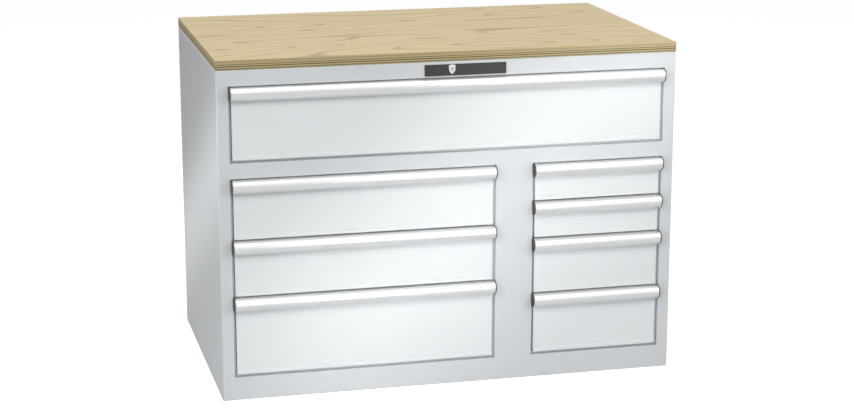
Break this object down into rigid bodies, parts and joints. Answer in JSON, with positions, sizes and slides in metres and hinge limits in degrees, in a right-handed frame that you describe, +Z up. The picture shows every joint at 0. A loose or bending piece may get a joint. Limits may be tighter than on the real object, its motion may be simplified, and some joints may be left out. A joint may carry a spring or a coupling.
{
  "type": "multi-drawer cabinet",
  "caption": "Free-standing sheet-steel drawer cabinet with a plywood worktop: full-extension drawers in side-by-side columns under a wide one, bar handles and a central cylinder lock.",
  "frame": {"origin": "middle of the footprint at floor level, with the handles counted in the footprint", "axes": "+X along the width, to the right as seen from the front; +Y from the drawer fronts to the back; +Z up"},
  "size_m": [1.193, 0.746, 0.875],
  "materials": {
    "housing_paint": "satin powder coat, light grey",
    "front_paint": "smooth glossy powder coat, light grey",
    "tray_paint": "satin powder coat, light grey",
    "handle_aluminium": "extruded and satin anodised",
    "cap_plastic": "moulded, fine texture",
    "strip_plastic": "moulded, smooth matt",
    "plywood": "multi-ply beech board, oiled",
    "lock_chrome": "satin chrome on zinc",
    "zinc_steel": "bright zinc plated"
  },
  "bodies": {
    "housing": {"side_panel_left": "housing_paint", "side_panel_right": "housing_paint", "back_panel": "housing_paint", "base_pan": "housing_paint", "front_sill": "housing_paint", "front_header": "housing_paint", "front_crossbar": "housing_paint", "front_mullion": "housing_paint", "centre_partition": "zinc_steel", "top_panel": "housing_paint", "worktop": "plywood", "worktop_screws": "zinc_steel", "rail_uprights": "zinc_steel", "cabinet_rails": "zinc_steel", "lock_strip": "strip_plastic", "lock_barrel": "lock_chrome", "bar_guides": "zinc_steel"},
    "top_drawer": {"top_drawer_tray": "tray_paint", "top_drawer_front": "front_paint", "top_drawer_handle": "handle_aluminium", "top_drawer_handle_caps": "cap_plastic"},
    "top_drawer_slides": {"top_drawer_carriages": "zinc_steel"},
    "left_drawer_1": {"left_drawer_1_tray": "tray_paint", "left_drawer_1_front": "front_paint", "left_drawer_1_handle": "handle_aluminium", "left_drawer_1_handle_caps": "cap_plastic"},
    "left_drawer_1_slides": {"left_drawer_1_carriages": "zinc_steel"},
    "left_drawer_2": {"left_drawer_2_tray": "tray_paint", "left_drawer_2_front": "front_paint", "left_drawer_2_handle": "handle_aluminium", "left_drawer_2_handle_caps": "cap_plastic"},
    "left_drawer_2_slides": {"left_drawer_2_carriages": "zinc_steel"},
    "left_drawer_3": {"left_drawer_3_tray": "tray_paint", "left_drawer_3_front": "front_paint", "left_drawer_3_handle": "handle_aluminium", "left_drawer_3_handle_caps": "cap_plastic"},
    "left_drawer_3_slides": {"left_drawer_3_carriages": "zinc_steel"},
    "right_drawer_1": {"right_drawer_1_tray": "tray_paint", "right_drawer_1_front": "front_paint", "right_drawer_1_handle": "handle_aluminium", "right_drawer_1_handle_caps": "cap_plastic"},
    "right_drawer_1_slides": {"right_drawer_1_carriages": "zinc_steel"},
    "right_drawer_2": {"right_drawer_2_tray": "tray_paint", "right_drawer_2_front": "front_paint", "right_drawer_2_handle": "handle_aluminium", "right_drawer_2_handle_caps": "cap_plastic"},
    "right_drawer_2_slides": {"right_drawer_2_carriages": "zinc_steel"},
    "right_drawer_3": {"right_drawer_3_tray": "tray_paint", "right_drawer_3_front": "front_paint", "right_drawer_3_handle": "handle_aluminium", "right_drawer_3_handle_caps": "cap_plastic"},
    "right_drawer_3_slides": {"right_drawer_3_carriages": "zinc_steel"},
    "right_drawer_4": {"right_drawer_4_tray": "tray_paint", "right_drawer_4_front": "front_paint", "right_drawer_4_handle": "handle_aluminium", "right_drawer_4_handle_caps": "cap_plastic"},
    "right_drawer_4_slides": {"right_drawer_4_carriages": "zinc_steel"},
    "lock_core": {"lock_plug": "lock_chrome", "lock_cam": "zinc_steel"},
    "lock_bars": {"locking_frame": "zinc_steel"}
  },
  "joints": [
    {"name": "top_drawer_slide", "type": "slide", "parent": "housing", "child": "top_drawer", "axis": [0, -1, 0], "range_m": [0, 0.6]},
    {"name": "top_drawer_carriage_slide", "type": "slide", "parent": "housing", "child": "top_drawer_slides", "axis": [0, -1, 0], "range_m": [0, 0.3]},
    {"name": "left_drawer_1_slide", "type": "slide", "parent": "housing", "child": "left_drawer_1", "axis": [0, -1, 0], "range_m": [0, 0.6]},
    {"name": "left_drawer_1_carriage_slide", "type": "slide", "parent": "housing", "child": "left_drawer_1_slides", "axis": [0, -1, 0], "range_m": [0, 0.3]},
    {"name": "left_drawer_2_slide", "type": "slide", "parent": "housing", "child": "left_drawer_2", "axis": [0, -1, 0], "range_m": [0, 0.6]},
    {"name": "left_drawer_2_carriage_slide", "type": "slide", "parent": "housing", "child": "left_drawer_2_slides", "axis": [0, -1, 0], "range_m": [0, 0.3]},
    {"name": "left_drawer_3_slide", "type": "slide", "parent": "housing", "child": "left_drawer_3", "axis": [0, -1, 0], "range_m": [0, 0.6]},
    {"name": "left_drawer_3_carriage_slide", "type": "slide", "parent": "housing", "child": "left_drawer_3_slides", "axis": [0, -1, 0], "range_m": [0, 0.3]},
    {"name": "right_drawer_1_slide", "type": "slide", "parent": "housing", "child": "right_drawer_1", "axis": [0, -1, 0], "range_m": [0, 0.6]},
    {"name": "right_drawer_1_carriage_slide", "type": "slide", "parent": "housing", "child": "right_drawer_1_slides", "axis": [0, -1, 0], "range_m": [0, 0.3]},
    {"name": "right_drawer_2_slide", "type": "slide", "parent": "housing", "child": "right_drawer_2", "axis": [0, -1, 0], "range_m": [0, 0.6]},
    {"name": "right_drawer_2_carriage_slide", "type": "slide", "parent": "housing", "child": "right_drawer_2_slides", "axis": [0, -1, 0], "range_m": [0, 0.3]},
    {"name": "right_drawer_3_slide", "type": "slide", "parent": "housing", "child": "right_drawer_3", "axis": [0, -1, 0], "range_m": [0, 0.6]},
    {"name": "right_drawer_3_carriage_slide", "type": "slide", "parent": "housing", "child": "right_drawer_3_slides", "axis": [0, -1, 0], "range_m": [0, 0.3]},
    {"name": "right_drawer_4_slide", "type": "slide", "parent": "housing", "child": "right_drawer_4", "axis": [0, -1, 0], "range_m": [0, 0.6]},
    {"name": "right_drawer_4_carriage_slide", "type": "slide", "parent": "housing", "child": "right_drawer_4_slides", "axis": [0, -1, 0], "range_m": [0, 0.3]},
    {"name": "lock_turn", "type": "hinge", "parent": "housing", "child": "lock_core", "pos_m": [0, -0.352, 0.8305], "axis": [0, 1, 0], "range_deg": [0, 90]},
    {"name": "locking_frame_drop", "type": "slide", "parent": "housing", "child": "lock_bars", "axis": [0, 0, -1], "range_m": [0, 0.01131]}
  ],
  "couplings": [
    {"joint": "top_drawer_carriage_slide", "follows": "top_drawer_slide", "ratio": 0.5},
    {"joint": "left_drawer_1_carriage_slide", "follows": "left_drawer_1_slide", "ratio": 0.5},
    {"joint": "left_drawer_2_carriage_slide", "follows": "left_drawer_2_slide", "ratio": 0.5},
    {"joint": "left_drawer_3_carriage_slide", "follows": "left_drawer_3_slide", "ratio": 0.5},
    {"joint": "right_drawer_1_carriage_slide", "follows": "right_drawer_1_slide", "ratio": 0.5},
    {"joint": "right_drawer_2_carriage_slide", "follows": "right_drawer_2_slide", "ratio": 0.5},
    {"joint": "right_drawer_3_carriage_slide", "follows": "right_drawer_3_slide", "ratio": 0.5},
    {"joint": "right_drawer_4_carriage_slide", "follows": "right_drawer_4_slide", "ratio": 0.5},
    {"joint": "lock_turn", "follows": "locking_frame_drop", "rad_per_m": 138.84}
  ]
}
